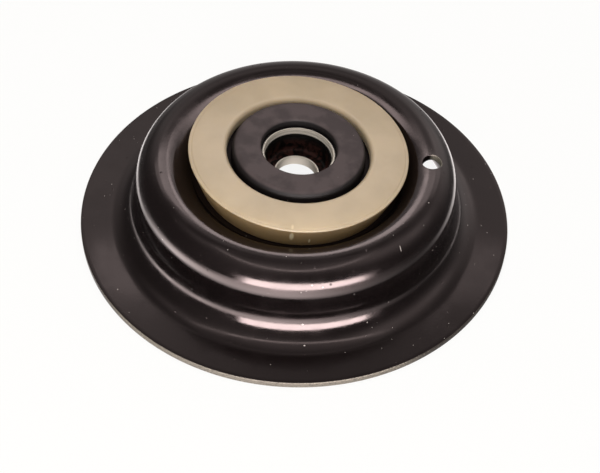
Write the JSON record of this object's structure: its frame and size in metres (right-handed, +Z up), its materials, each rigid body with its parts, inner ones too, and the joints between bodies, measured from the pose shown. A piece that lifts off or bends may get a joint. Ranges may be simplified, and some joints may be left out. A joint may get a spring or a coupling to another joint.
{
  "type": "strut mount",
  "caption": "Suspension strut top mount: pressed steel spring seat with a slanted well, a turning plastic thrust ring and a bonded rubber bush around a rod cup.",
  "frame": {"origin": "centre of the flange's underside, on which the mount lies", "axes": "+Z up through the crown, +X towards the small hole in the crown, which is the side that the bearing axis leans to"},
  "size_m": [0.16, 0.16, 0.0366],
  "materials": {
    "black_coat": "glossy black electrocoat with a brown cast",
    "nylon": "moulded natural nylon, satin",
    "rubber": "moulded black rubber, dull",
    "bare_steel": "turned steel, bright at the rim and the hole, stained inside the cup"
  },
  "bodies": {
    "seat": {"spring_seat": "black_coat", "rubber_bush": "rubber", "rod_cup": "bare_steel"},
    "bearing": {"bearing_ring": "nylon"}
  },
  "joints": [
    {"name": "bearing_turn", "type": "hinge", "parent": "seat", "child": "bearing", "pos_m": [0, 0, 0.0222], "axis": [0.0506, 0, 0.9987], "continuous": true}
  ]
}
